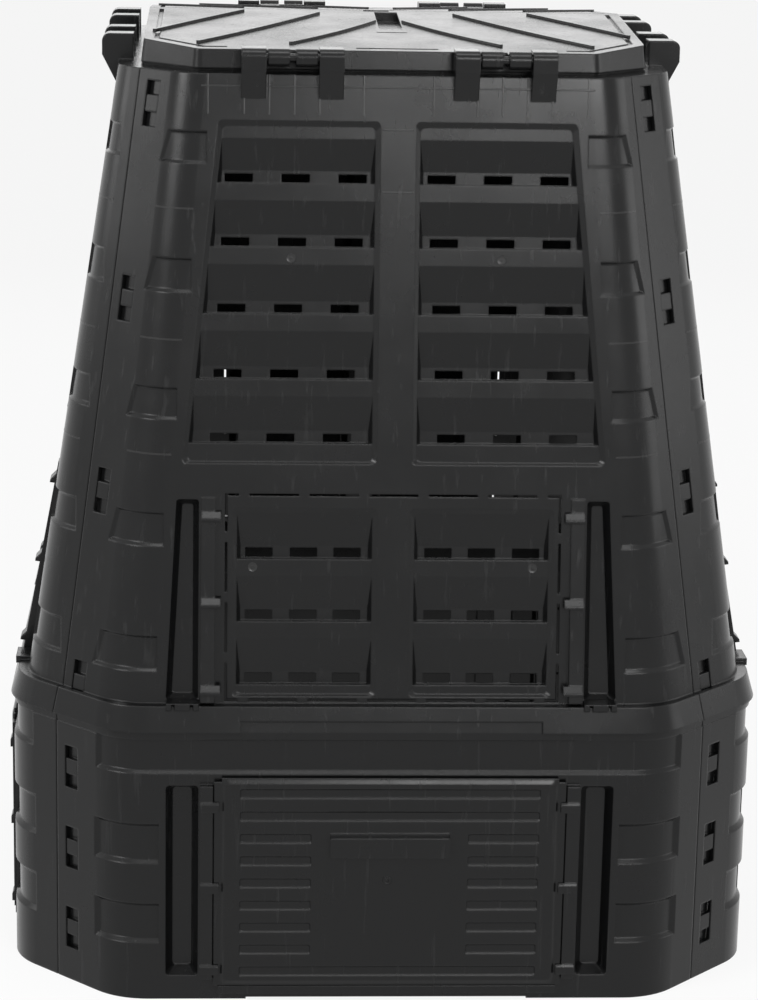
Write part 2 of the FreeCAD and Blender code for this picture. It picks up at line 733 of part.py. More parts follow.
def make_wall():
    """Front wall panel; the other three are turned copies."""
    body = full_wall_shell().common(sector(
        wall_outline, wall_seam, SKIRT_LOW - 2 * PAST, WALL_TOP + 2 * PAST, 0.0, SEAM_GAP))
    ledges = [WINDOW_FOOT + sum(LOUVRE_STEPS[:count]) for count in range(len(LOUVRE_STEPS) - 1, 0, -1)]
    hatch_rise = HATCH_WINDOW_TOP - HATCH_WINDOW_FOOT
    hatch_ledges = [HATCH_WINDOW_FOOT + share * hatch_rise for share in reversed(HATCH_LOUVRE_SHARES)]
    half_windows = [
        louvred_window(
            WINDOW_INNER, window_outer(WINDOW_FOOT), window_outer(WINDOW_TOP), WINDOW_TOP, WINDOW_FOOT,
            LOUVRE_FASCIA, ledges, wall_vents, VENT_WIDTH, VENT_HEIGHT),
        louvred_window(
            HATCH_WINDOW_INNER, HATCH_WINDOW_OUTER, HATCH_WINDOW_OUTER, HATCH_WINDOW_TOP,
            HATCH_WINDOW_FOOT, HATCH_HEAD_FASCIA, hatch_ledges, hatch_vents,
            HATCH_VENT_WIDTH, HATCH_VENT_HEIGHT),
        pocket(
            TALL_INNER, TALL_FOOT_OUTER, TALL_TOP_OUTER, slope(TALL_FOOT), slope(TALL_TOP),
            TALL_ROUND, TALL_DEPTH, TALL_TAPER),
    ]
    holes = []
    inserts = []
    for hole, insert in half_windows:
        holes += [on_wall(piece) for piece in both_sides(hole)]
        inserts += [on_wall(piece) for piece in both_sides(insert)]
    tongue = turned(lap(
        wall_outline, wall_seam, WALL_LAP_LOW, WALL_LAP_TOP, WALL_HOOKS, WALL_THICK, []), 90)
    body = body.cut(holes).fuse(inserts)
    cuts = holes[-2:] + [on_wall(hatch_slots())]
    cuts += corner_hollows(wall_outline, WALL_POCKETS, WALL_LOW, WALL_HEIGHT, WALL_POCKET_DEPTH)
    cuts += hook_slots(wall_outline, wall_seam, WALL_HOOKS)
    cuts.append(box(
        -SKIRT_NOTCH_HALF, SKIRT_NOTCH_HALF, -SKIRT_HALF_LOW - PAST, -SKIRT_HALF_TOP + SKIRT_NOTCH_DEPTH,
        SKIRT_LOW - PAST, SKIRT_NOTCH_TOP))
    body = body.cut(cuts)
    extras = [tongue] + [on_wall(piece) for piece in guide_rails()]
    extras += hinge_lugs() + snap_latch()
    return body.fuse(extras)


CROWN_INSET = BAND_DEPTH + BAND_WALL + BAND_BACK


def full_ring_shell():
    """All four base panels as one shell, with the thick crown that carries the walls."""
    outer = frustum(ring_outline(0.0, 0.0), ring_outline(0.0, BAND_HIGH))
    rim = frustum(ring_outline(RIM_STEP, BAND_HIGH), ring_outline(RIM_STEP, SKIRT_LOW))
    clear = SKIRT_THICK + SKIRT_GAP
    crown = frustum(
        ring_outline(max(skirt_inset(SKIRT_LOW) + clear, RIM_STEP), SKIRT_LOW),
        ring_outline(skirt_inset(RING_TOP) + clear, RING_TOP))
    hollow = frustum(ring_outline(RING_WALL, -PAST), ring_outline(RING_WALL, BAND_HIGH))
    crown_hollow = frustum(
        ring_outline(CROWN_INSET, BAND_HIGH - PAST), ring_outline(CROWN_INSET, RING_TOP + PAST))
    return outer.fuse([rim, crown]).cut([hollow, crown_hollow])


def band_back():
    """Backing of the recess, between the lapped corners."""
    reach = BAND_HALF_LENGTH + BAND_WALL
    foot = BAND_LOW_OUT - BAND_WALL
    shell = layer(ring_outline, RING_WALL - SINK, CROWN_INSET, foot, BAND_HIGH)
    return shell.common(box(-reach, reach, -RING_HALF - OUTSIDE, -RING_HALF / 2, foot, BAND_HIGH))


def band_cut():
    """Horizontal recess under the skirt, ended before the hook rows."""
    block = frustum(ring_outline(-BAND_REACH, BAND_LOW_OUT), ring_outline(-BAND_REACH, BAND_HIGH))
    keep = [
        frustum(ring_outline(0.0, BAND_LOW_OUT), ring_outline(BAND_DEPTH, BAND_LOW_IN)),
        frustum(ring_outline(BAND_DEPTH, BAND_LOW_IN), ring_outline(BAND_DEPTH, BAND_HIGH)),
    ]
    reach = RING_HALF + OUTSIDE
    end = corner_line(ring_outline, 0.0) - BAND_HALF_LENGTH + RING_HALF
    window = box(-reach, reach, -reach, -end, BAND_LOW_OUT - PAST, BAND_HIGH + PAST)
    return block.cut(keep).common(window)


def door_rails():
    strip = box(RAIL_INNER, RAIL_OUTER, -RAIL_FACE, -RING_HALF + RAIL_ROOT, RAIL_FOOT, RAIL_TOP)
    tabs = []
    for foot in RAIL_TABS:
        profile = [
            (RAIL_TAB_BACK, foot), (RAIL_TAB_FACE, foot),
            (RAIL_TAB_FACE, foot + TAB_HEIGHT - TAB_NOSE),
            (RAIL_TAB_BACK + RAIL_TAB_HEAD, foot + TAB_HEIGHT),
            (RAIL_TAB_BACK, foot + TAB_HEIGHT),
        ]
        hook = side_profile(profile, RAIL_TAB_INNER, RAIL_OUTER)
        root = box(
            RAIL_INNER, RAIL_OUTER, -RAIL_TAB_BACK - RAIL_TAB_ROOT, -RAIL_FACE + SINK,
            foot, foot + TAB_HEIGHT)
        tabs += [hook, root]
    return both_sides(strip.fuse(tabs))


def make_base():
    """Front base panel; the other three are turned copies."""
    body = full_ring_shell().common(sector(
        ring_outline, ring_seam, -2 * PAST, RING_TOP + 2 * PAST, 0.0, SEAM_GAP))
    front = -RING_HALF
    far = RING_POCKET_DEPTH + POCKET_WALL
    backs = corner_shells(ring_outline, RING_POCKETS, 0.0, RING_TOP, POCKET_ROOT, far, POCKET_WALL)
    room = corner_shells(
        ring_outline, RING_POCKETS, 0.0, RING_TOP, 0.0, far + LAP_GAP, POCKET_WALL + LAP_GAP)
    deep_pocket = pocket(
        DEEP_INNER, DEEP_OUTER, DEEP_OUTER, DEEP_FOOT, DEEP_TOP, DEEP_ROUND, DEEP_DEPTH, DEEP_TAPER)
    for piece in deep_pocket:
        piece.translate(Vec(0, front, 0))
    deep_hollow, deep_casing = deep_pocket
    body = body.fuse(in_pairs(backs) + both_sides(deep_casing) + [band_back()])
    cuts = corner_hollows(ring_outline, RING_POCKETS, 0.0, RING_TOP, RING_POCKET_DEPTH)
    cuts += both_sides(deep_hollow) + hook_slots(ring_outline, ring_seam, RING_HOOKS)
    cuts.append(band_cut())
    cuts.append(box(
        -DOORWAY_HALF, DOORWAY_HALF, front - PAST, front + OUTSIDE, DOORWAY_FOOT, DOORWAY_TOP))
    cuts.append(box(
        -FOOT_NOTCH_HALF, FOOT_NOTCH_HALF, front - PAST, front + OUTSIDE, -PAST, FOOT_NOTCH_HEIGHT))
    body = body.cut(cuts)
    sill = box(-SILL_HALF, SILL_HALF, -SILL_REACH, front + RAIL_ROOT, SILL_FOOT, DOOR_FOOT)
    tongue = turned(lap(
        ring_outline, ring_seam, RING_LAP_LOW, RING_LAP_TOP, RING_HOOKS, RING_WALL, room), 90)
    return body.fuse([sill, tongue] + door_rails())


def bevelled_panel():
    """Raised middle of the door with sloping edges."""
    wires = []
    back = DOOR_BACK + DOOR_PLATE - SINK
    for reach, inset, side_inset in ((back, 0.0, 0.0), (DOOR_FACE, DOOR_BEVEL, DOOR_BEVEL_SIDE)):
        low = DOOR_PANEL_FOOT + inset
        high = DOOR_TOP - inset
        foot_half = DOOR_PANEL_FOOT_HALF - side_inset
        top_half = DOOR_PANEL_TOP_HALF - side_inset
        points = [
            Vec(-foot_half, -reach, low), Vec(foot_half, -reach, low),
            Vec(top_half, -reach, high), Vec(-top_half, -reach, high),
        ]
        wires.append(rounded(points, DOOR_ROUND))
    return Part.makeLoft(wires, True, True)


def door_groove(x0, x1, foot):
    groove = drafted(
        x0, x1, x1, foot, foot + DOOR_GROOVE_HEIGHT, DOOR_GROOVE_ROUND,
        ((-PAST, 0.0, 0.0), (0.0, 0.0, 0.0), (DOOR_GROOVE_DEPTH, DOOR_GROOVE_TAPER, DOOR_GROOVE_TAPER)))
    groove.translate(Vec(0, -DOOR_FACE, 0))
    return groove


def make_door():
    plate = box(
        -DOOR_FLANGE_HALF, DOOR_FLANGE_HALF, -DOOR_BACK - DOOR_PLATE, -DOOR_BACK,
        DOOR_FOOT, DOOR_FLANGE_TOP)
    head = box(
        -DOOR_PANEL_TOP_HALF, DOOR_PANEL_TOP_HALF, -DOOR_BACK - DOOR_PLATE, -DOOR_BACK,
        DOOR_FLANGE_TOP - PAST, DOOR_TOP)
    body = plate.fuse([head, bevelled_panel()])
    cuts = []
    pitch = (DOOR_GROOVE_HIGH - DOOR_GROOVE_LOW) / (DOOR_GROOVE_COUNT - 1)
    for count in range(DOOR_GROOVE_COUNT):
        foot = DOOR_GROOVE_LOW + count * pitch
        if count in DOOR_WIDE_GROOVES:
            cuts.append(door_groove(-DOOR_WIDE_HALF, DOOR_WIDE_HALF, foot))
        else:
            cuts += both_sides(door_groove(DOOR_SHORT_INNER, DOOR_WIDE_HALF, foot))
    body = body.cut(cuts)
    lip = [
        (DOOR_FACE - SINK, LIP_FOOT), (DOOR_FACE + LIP_REACH - LIP_TUCK, LIP_FOOT),
        (DOOR_FACE + LIP_REACH, LIP_TOP - LIP_TOP_FALL), (DOOR_FACE - SINK, LIP_TOP),
    ]
    return body.fuse(side_profile(lip, -LIP_HALF, LIP_HALF))


def lid_outline(inset, z):
    """Outline of the rim, which leans inwards as it rises."""
    total = inset + LID_LEAN * (z - LID_FOOT)
    radius = max(LID_ROUND - total, LID_ROUND_LEAST)
    return (LID_HALF - total, LID_CUT - INSET_TO_CUT * total, radius, z)


LID_RISE = (LID_RIDGE_TOP - LID_FRONT_TOP) / LID_HALF


def lid_height(y):
    return LID_FRONT_TOP + (y + LID_HALF) * LID_RISE


def under_slope(drop, y_far):
    """Half-space block below the sloping lid surface, lowered by drop."""
    near = -LID_HALF - OUTSIDE
    points = [
        (-near, LID_FOOT - OUTSIDE), (-near, lid_height(near) - drop),
        (-y_far, lid_height(y_far) - drop), (-y_far, LID_FOOT - OUTSIDE),
    ]
    return side_profile(points, -LID_HALF - OUTSIDE, LID_HALF + OUTSIDE)


def lid_groove():
    """Border groove that follows the edge, interrupted at the hinge stations."""
    high = LID_RIDGE_TOP + OUTSIDE
    near = frustum(lid_outline(BORDER_GROOVE_INSET, LID_FOOT), lid_outline(BORDER_GROOVE_INSET, high))
    far_inset = BORDER_GROOVE_INSET + BORDER_GROOVE_WIDTH
    far = frustum(lid_outline(far_inset, LID_FOOT - PAST), lid_outline(far_inset, high + PAST))
    track = near.cut(far).cut(under_slope(BORDER_GROOVE_DEPTH, OUTSIDE))
    window = box(-LID_HALF, LID_HALF, -LID_HALF, -BORDER_GROOVE_INSET, LID_FOOT, high)
    inner, outer = BORDER_RAISED_HALF
    raised = both_sides(box(
        inner, outer, -LID_HALF - PAST, -LID_HALF / 2 - LID_CUT, LID_FOOT, high + PAST))
    return track.common(window).cut(raised)


def lid_rib(points, side):
    """Thin curved rib standing on the sloping lid surface, points as shares of its half width."""
    left = []
    right = []
    start, middle, stop = [Vec(side * x * LID_HALF, -y * LID_HALF, 0) for x, y in points]
    for spread, store in ((-RIB_WIDTH / 2, left), (RIB_WIDTH / 2, right)):
        for here, ahead in ((start, middle), (middle, stop), (stop, stop + (stop - middle))):
            along = (ahead - here).normalize()
            store.append(here + Vec(-along.y, along.x, 0) * spread)
    shift = Vec(0, 0, LID_FOOT)
    first = Part.Arc(left[0] + shift, left[1] + shift, left[2] + shift).toShape()
    last = Part.Arc(right[2] + shift, right[1] + shift, right[0] + shift).toShape()
    cap = Part.makeLine(left[2] + shift, right[2] + shift)
    end = Part.makeLine(right[0] + shift, left[0] + shift)
    height = LID_RIDGE_TOP + OUTSIDE - LID_FOOT
    body = Part.Face(Part.Wire([first, cap, last, end])).extrude(Vec(0, 0, height))
    return body.common(under_slope(-RIB_HEIGHT, 0.0)).cut(under_slope(RIB_SINK, OUTSIDE))


def knuckle_arms():
    pieces = []
    for x0 in KNUCKLE_STARTS:
        x1 = x0 + KNUCKLE_WIDTH
        barrel = Part.makeCylinder(KNUCKLE_RADIUS, KNUCKLE_WIDTH, Vec(x0, -PIN_Y, PIN_Z), Vec(1, 0, 0))
        arm = box(x0, x1, -PIN_Y, -LID_HALF + LID_THICK, KNUCKLE_ARM_LOW, KNUCKLE_ARM_TOP)
        pieces += both_sides(barrel.fuse(arm))
    return pieces


def make_lid_flap():
    """Front flap; the rear one is the same piece turned round."""
    full = frustum(lid_outline(0.0, LID_FOOT), lid_outline(0.0, LID_RIDGE_TOP + OUTSIDE))
    reach = LID_HALF + PAST
    front_half = box(-reach, reach, -reach, -LID_JOINT_GAP, LID_FOOT, LID_RIDGE_TOP + PAST)
    body = full.common(under_slope(0.0, 0.0)).common(front_half)
    hollow = frustum(
        lid_outline(LID_THICK, LID_FOOT - PAST), lid_outline(LID_THICK, LID_RIDGE_TOP + OUTSIDE))
    hollow = hollow.common(under_slope(LID_THICK, -LID_JOINT_GAP - LID_THICK))
    open_ridge = box(
        -LID_HALF + LID_THICK, LID_HALF - LID_THICK, -LID_JOINT_GAP - LID_THICK - PAST, PAST,
        LID_FOOT - PAST, LID_RIDGE_WALL_FOOT)
    body = body.cut([hollow, open_ridge, lid_groove()])
    ribs = []
    for points in LID_RIBS:
        ribs += [lid_rib(points, side) for side in (-1, 1)]
    body = body.fuse(ribs + knuckle_arms())
    scoop_far = lid_height(SCOOP_FAR)
    scoop = [
        (-SCOOP_NEAR, lid_height(SCOOP_NEAR) + SCOOP_SKIM), (-SCOOP_FAR, scoop_far - SCOOP_DEPTH),
        (-SCOOP_FAR, LID_RIDGE_TOP + OUTSIDE), (-SCOOP_NEAR, LID_RIDGE_TOP + OUTSIDE),
    ]
    tray = [
        (-TRAY_NEAR, lid_height(SCOOP_NEAR) - LID_THICK + TRAY_SINK),
        (-SCOOP_FAR - LID_THICK, scoop_far - SCOOP_DEPTH - LID_THICK),
        (-SCOOP_FAR - LID_THICK, scoop_far - TRAY_SINK), (-TRAY_NEAR, lid_height(SCOOP_NEAR) - TRAY_SINK),
    ]
    body = body.fuse(side_profile(tray, -SCOOP_HALF - LID_THICK, SCOOP_HALF + LID_THICK))
    cuts = [side_profile(scoop, -SCOOP_HALF, SCOOP_HALF)]
    eye_z = scoop_far - SCOOP_DEPTH + SCOOP_EYE_LIFT
    cuts.append(box(
        -SCOOP_EYE, 0.0, SCOOP_FAR - OUTSIDE, SCOOP_FAR - SCOOP_EYE_WALL,
        eye_z - OUTSIDE, eye_z + SCOOP_EYE_HEIGHT))
    x0, x1 = GRIP_NOTCH_X
    cuts.append(box(
        x0, x1, -GRIP_NOTCH_Y, PAST, lid_height(-GRIP_NOTCH_Y) - GRIP_NOTCH_DEPTH, LID_RIDGE_TOP + PAST))
    foot = LID_FOOT - PAST
    step = LID_FOOT + LID_REBATE_HEIGHT
    cuts.append(frustum(lid_outline(-PAST, foot), lid_outline(-PAST, step)).cut(frustum(
        lid_outline(LID_REBATE_DEPTH, foot - PAST), lid_outline(LID_REBATE_DEPTH, step + PAST))))
    first = KNUCKLE_STARTS[0] - PAST
    last = KNUCKLE_STARTS[-1] + KNUCKLE_WIDTH + PAST
    cuts += both_sides(pin_bore(first, last))
    return body.cut(cuts)


def make_pin(side):
    start = LUG_STARTS[0] + PIN_END_SINK + PIN_END_PLAY
    stop = LUG_STARTS[1] + LUG_WIDTH - PIN_END_SINK - PIN_END_PLAY
    x0 = start if side > 0 else -stop
    return Part.makeCylinder(PIN_RADIUS, stop - start, Vec(x0, -PIN_Y, PIN_Z), Vec(1, 0, 0))


def clean(shape):
    """Single tidy solid from a boolean result."""
    tidy = shape.removeSplitter()
    if tidy.ShapeType != "Solid" and len(tidy.Solids) == 1:
        tidy = tidy.Solids[0]
    return tidy


SIDES = (("front", 0), ("right", 90), ("rear", 180), ("left", 270))


def build():
    wall = clean(make_wall())
    base = clean(make_base())
    door = clean(make_door())
    flap = clean(make_lid_flap())
    nodes = {}
    for side, angle in SIDES:
        nodes["wall_" + side] = turned(wall, angle)
        nodes["base_" + side] = turned(base, angle)
        nodes["door_" + side] = turned(door, angle)
    for side, angle in (("front", 0), ("rear", 180)):
        nodes["lid_" + side] = turned(flap, angle)
        nodes["pin_" + side + "_right"] = turned(make_pin(1), angle)
        nodes["pin_" + side + "_left"] = turned(make_pin(-1), angle)
    return nodes


os.makedirs("parts", exist_ok=True)
for name, shape in build().items():
    if not shape.isValid():
        print("not valid:", name)
    if len(shape.Solids) != 1:
        print("solids:", name, len(shape.Solids))
    shape.exportStep("parts/" + name + ".step")
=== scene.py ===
import math

import bmesh
import bpy
from mathutils import Matrix, Vector


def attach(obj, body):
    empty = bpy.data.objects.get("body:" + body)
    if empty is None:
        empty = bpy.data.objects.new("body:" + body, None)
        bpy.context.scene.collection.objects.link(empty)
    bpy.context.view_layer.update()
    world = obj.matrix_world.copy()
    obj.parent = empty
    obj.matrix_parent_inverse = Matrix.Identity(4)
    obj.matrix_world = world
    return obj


bl_info = {
    "name": "Compost Bin With Lid",
    "version": (1, 0, 0),
    "blender": (4, 5, 0),
    "location": "View3D > Sidebar > Compost Bin",
    "description": "Finishes a panelled garden compost bin in black moulded plastic and sets it in a studio",
    "category": "Object",
}

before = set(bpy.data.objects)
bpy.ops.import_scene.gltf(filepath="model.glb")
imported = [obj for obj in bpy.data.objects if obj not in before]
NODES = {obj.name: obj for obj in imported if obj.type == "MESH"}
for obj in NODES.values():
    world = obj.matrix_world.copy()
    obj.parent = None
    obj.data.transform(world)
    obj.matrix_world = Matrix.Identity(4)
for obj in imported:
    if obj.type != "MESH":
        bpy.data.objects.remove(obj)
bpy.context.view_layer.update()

# Width of the photograph in pixels
PHOTO_WIDTH = 758

SIDES = ("front", "right", "rear", "left")
QUARTER = math.pi / 2
UPWARDS = Vector((0, 0, 1))
WHITE = (1.0, 1.0, 1.0, 1.0)

# Leaning wall face, in metres
WALL_FOOT_Z = 0.321
WALL_HEAD_Z = 0.957
WALL_FOOT_Y = -0.381
WALL_HEAD_Y = -0.286
WALL_LEAN = math.atan2(WALL_HEAD_Y - WALL_FOOT_Y, WALL_HEAD_Z - WALL_FOOT_Z)
WALL_CUT_FOOT = 0.100
WALL_CUT_HEAD = 0.070
WALL_ROUND_FOOT = 0.075
WALL_ROUND_HEAD = 0.050
FASCIA_RECESS = 0.0035
DOOR_FACE_Y = -0.405

# Gate marks, as x and z on a face; those of a wall are mirrored in x
WALL_GATES = ((0.1077, 0.774), (0.1444, 0.4606))
DOOR_GATE = (-0.002, 0.136)

# Parts of a gate mark, as shares of its radius or of the height of its rim
RIM_TOP_SHARE = 0.85
RIM_BAND_SHARE = 0.3
HOLLOW_SHARE = 0.8
NUB_FOOT_SHARE = 0.3
NUB_TOP_SHARE = 0.18
RIM_SEGMENTS = 24
NUB_SEGMENTS = 12

# Mould lines under the wall's top edge, between the windows and on the corners
HEAD_LINE_Z = 0.945
HEAD_LINE_LENGTH = 0.400
HEAD_UPRIGHTS = (0.0355, 0.0802, 0.1057, 0.1311, 0.1566, 0.1933)
HEAD_UPRIGHT_Z = 0.937
HEAD_UPRIGHT_LENGTH = 0.040
BRIDGE_LINES_Z = (0.903, 0.841)
BRIDGE_LINE_LENGTH = 0.032
CORNER_LINES_Z = (0.8225, 0.691, 0.575)
LINE_SEGMENTS = 12
CORNER_STEPS = 8

# Mesh corners nearer than this are one
SAME_POINT = 1e-6
# A cap has more corners than a side face, and looks outwards at least this squarely
SIDE_CORNERS = 4
SQUARELY = 0.9

# Noises of the plastic: scale per metre, detail and roughness
WAVES = (7.0, 1.0, 0.4)
GRAIN = (900.0, 2.0, 0.5)
CLOUDS = (11.0, 5.0, 0.6)
HAIRS = (1.0, 3.0, 0.5)
NOISE_MIDDLE = 0.5
CLOUD_SWING = 0.34

# Hairline scuffs: stretch and turn of their noise, where it becomes a hair, and what a hair does
HAIR_STRETCH = (160.0, 160.0, 9.0)
HAIR_TURN = (0.3, 0.12, 0.0)
HAIR_START = 0.62
HAIR_FULL = 0.78
HAIR_ROUGHNESS = 0.10
HAIR_PALENESS = 0.12
HAIR_COLOUR = (0.09, 0.09, 0.09, 1.0)

PLASTIC_IOR = 1.5
EDGE_SAMPLES = 6

# Spacing of the shader nodes in the editor
NODE_COLUMN = 220
NODE_ROW = 320

# Lamps: name, place, target, width and height in metres, watts
LAMPS = (
    ("Left Softbox", (-2.20, -1.70, 2.00), (0.0, 0.0, 0.9), 0.9, 1.2, 36.0),
    ("Right Softbox", (0.88, -2.66, 1.64), (0.0, 0.0, 0.9), 1.62, 0.5, 29.0),
    ("Rear Softbox", (0.0, 3.40, 2.20), (0.0, 0.0, 1.0), 4.0, 2.0, 26.0),
    ("Top Softbox", (0.0, -0.90, 3.30), (0.0, 0.0, 0.6), 2.2, 0.9, 28.0),
    ("Left Side Light", (-3.0, 0.2, 1.60), (0.0, 0.0, 0.7), 1.0, 1.2, 11.0),
    ("Right Side Light", (3.0, -0.5, 1.25), (0.0, 0.0, 0.6), 1.2, 1.5, 13.0),
)

# Floor and view: half the floor's side and the far end of the view in metres, the floor's own share of white
FLOOR_REACH = 30.0
VIEW_REACH = 100.0
FLOOR_GLOW = 0.88


class PlasticSettings(bpy.types.PropertyGroup):
    """Colour and surface of the moulded plastic."""

    colour: bpy.props.FloatVectorProperty(
        name="Plastic colour", description="Colour of the moulded panels",
        default=(0.0048, 0.0049, 0.0051), size=3, min=0.0, max=1.0, subtype="COLOR")
    pin_colour: bpy.props.FloatVectorProperty(
        name="Pin colour", description="Colour of the hinge pins",
        default=(0.006, 0.006, 0.006), size=3, min=0.0, max=1.0, subtype="COLOR")
    roughness: bpy.props.FloatProperty(
        name="Roughness", description="Mean roughness of the satin skin",
        default=0.24, min=0.0, max=1.0, subtype="FACTOR")
    gloss: bpy.props.FloatProperty(
        name="Gloss", description="Strength of the mirror-like share of the skin",
        default=0.27, min=0.0, max=1.0, subtype="FACTOR")
    edge_radius: bpy.props.FloatProperty(
        name="Edge radius", description="Rounding of the moulded edges",
        default=0.0025, min=0.0, unit="LENGTH", subtype="DISTANCE")
    grain_depth: bpy.props.FloatProperty(
        name="Grain depth", description="Depth of the fine mould texture",
        default=0.00006, min=0.0, unit="LENGTH", subtype="DISTANCE")
    warp_depth: bpy.props.FloatProperty(
        name="Warp depth", description="Depth of the slow waves that cooling leaves in thin walls",
        default=0.0006, min=0.0, unit="LENGTH", subtype="DISTANCE")


class MarkSettings(bpy.types.PropertyGroup):
    """Small marks left by the mould."""

    gate_radius: bpy.props.FloatProperty(
        name="Gate mark radius", description="Radius of the round mark where plastic entered the mould",
        default=0.0055, min=0.001, unit="LENGTH", subtype="DISTANCE")
    rim_height: bpy.props.FloatProperty(
        name="Gate rim height", description="Height of the low rim round a gate mark",
        default=0.0005, min=0.0, unit="LENGTH", subtype="DISTANCE")
    nub_height: bpy.props.FloatProperty(
        name="Gate nub height", description="Height of the trimmed nub in the middle of a gate mark",
        default=0.0013, min=0.0, unit="LENGTH", subtype="DISTANCE")
    line_width: bpy.props.FloatProperty(
        name="Mould line width", description="Width of the faint lines left by joints of the mould",
        default=0.0020, min=0.0, unit="LENGTH", subtype="DISTANCE")
    line_height: bpy.props.FloatProperty(
        name="Mould line height", description="Height of the faint lines over the skin",
        default=0.00018, min=0.0, unit="LENGTH", subtype="DISTANCE")
    # Paler than the panels: a painted highlight that stands in for the light the small raised mould lines
    # and gate marks catch
    line_painted_highlight: bpy.props.FloatVectorProperty(
        name="Mould line painted highlight", description="Paler colour of the mould lines and wall gate marks, a painted highlight",
        default=(0.022, 0.022, 0.022), size=3, min=0.0, max=1.0, subtype="COLOR")


class StudioSettings(bpy.types.PropertyGroup):
    """Camera, room light and floor."""

    camera_place: bpy.props.FloatVectorProperty(
        name="Camera place", description="Where the camera stands",
        default=(-0.1831, -3.2922, 1.2789), size=3, unit="LENGTH", subtype="TRANSLATION")
    camera_yaw: bpy.props.FloatProperty(
        name="Camera yaw", description="Turn of the view from straight ahead towards the right",
        default=math.radians(2.990), unit="ROTATION", subtype="ANGLE")
    camera_pitch: bpy.props.FloatProperty(
        name="Camera pitch", description="How far the camera looks down",
        default=math.radians(14.257), unit="ROTATION", subtype="ANGLE")
    camera_roll: bpy.props.FloatProperty(
        name="Camera roll", description="Tilt of the camera about its own view",
        default=math.radians(1.089), unit="ROTATION", subtype="ANGLE")
    focal_pixels: bpy.props.FloatProperty(
        name="Focal length in pixels", description="Focal length measured in the photograph's pixels",
        default=2963.1, min=1.0)
    axis_x: bpy.props.FloatProperty(
        name="View axis", description="Pixel column that the view axis meets", default=365.3)
    floor_colour: bpy.props.FloatVectorProperty(
        name="Floor colour", description="Colour of the studio floor",
        default=(0.86, 0.86, 0.86), size=3, min=0.0, max=1.0, subtype="COLOR")
    world_level: bpy.props.FloatProperty(
        name="Room light", description="Even light from the white room", default=0.30, min=0.0)


# Shader node helpers

def add_socket(group, name, in_out, kind):
    """Named way into or out of a node group."""
    group.interface.new_socket(name=name, in_out=in_out, socket_type=kind)


def add_node(tree, kind, **values):
    """Shader node with its settings."""
    node = tree.nodes.new(kind)
    for name, value in values.items():
        setattr(node, name, value)
    return node


def math_node(tree, operation, first, second):
    """What an operation gives for two values, each a number or a socket."""
    node = add_node(tree, "ShaderNodeMath", operation=operation)
    for value, socket in zip((first, second), node.inputs):
        if isinstance(value, float):
            socket.default_value = value
        else:
            tree.links.new(value, socket)
    return node.outputs["Value"]


def noise(tree, vector, scale, detail, roughness):
    """Noise over the places that a vector gives."""
    node = add_node(tree, "ShaderNodeTexNoise")
    node.inputs["Scale"].default_value = scale
    node.inputs["Detail"].default_value = detail
    node.inputs["Roughness"].default_value = roughness
    tree.links.new(vector, node.inputs["Vector"])
    return node.outputs["Fac"]


def bump(tree, height, depth, normal):
    """Normal of a skin that rises by depth where height is one."""
    node = add_node(tree, "ShaderNodeBump")
    node.inputs["Strength"].default_value = 1.0
    tree.links.new(height, node.inputs["Height"])
    tree.links.new(depth, node.inputs["Distance"])
    tree.links.new(normal, node.inputs["Normal"])
    return node.outputs["Normal"]


def arrange(tree):
    """Stand each node in a column left of what it feeds."""
    columns = {node.name: 0 for node in tree.nodes}
    for _ in tree.nodes:
        for link in tree.links:
            behind = columns[link.to_node.name] + 1
            columns[link.from_node.name] = max(columns[link.from_node.name], behind)
    filled = {}
    for node in tree.nodes:
        column = columns[node.name]
        node.location = (-NODE_COLUMN * column, -NODE_ROW * filled.get(column, 0))
        filled[column] = filled.get(column, 0) + 1


def moulded_skin_group():
    """Fine grain, slow cooling waves and rounded edges of a moulded panel, as a normal."""
    group = bpy.data.node_groups.new("Moulded Skin", "ShaderNodeTree")
    for name in ("Edge Radius", "Grain Depth", "Warp Depth"):
        add_socket(group, name, "INPUT", "NodeSocketFloat")
    add_socket(group, "Normal", "OUTPUT", "NodeSocketVector")
    entry = add_node(group, "NodeGroupInput")
    leave = add_node(group, "NodeGroupOutput")
    place = add_node(group, "ShaderNodeTexCoord")
    edge = add_node(group, "ShaderNodeBevel", samples=EDGE_SAMPLES)
    group.links.new(entry.outputs["Edge Radius"], edge.inputs["Radius"])
    waves = noise(group, place.outputs["Object"], *WAVES)
    grain = noise(group, place.outputs["Object"], *GRAIN)
    waved = bump(group, waves, entry.outputs["Warp Depth"], edge.outputs["Normal"])
    grained = bump(group, grain, entry.outputs["Grain Depth"], waved)
    group.links.new(grained, leave.inputs["Normal"])
    arrange(group)
    return group


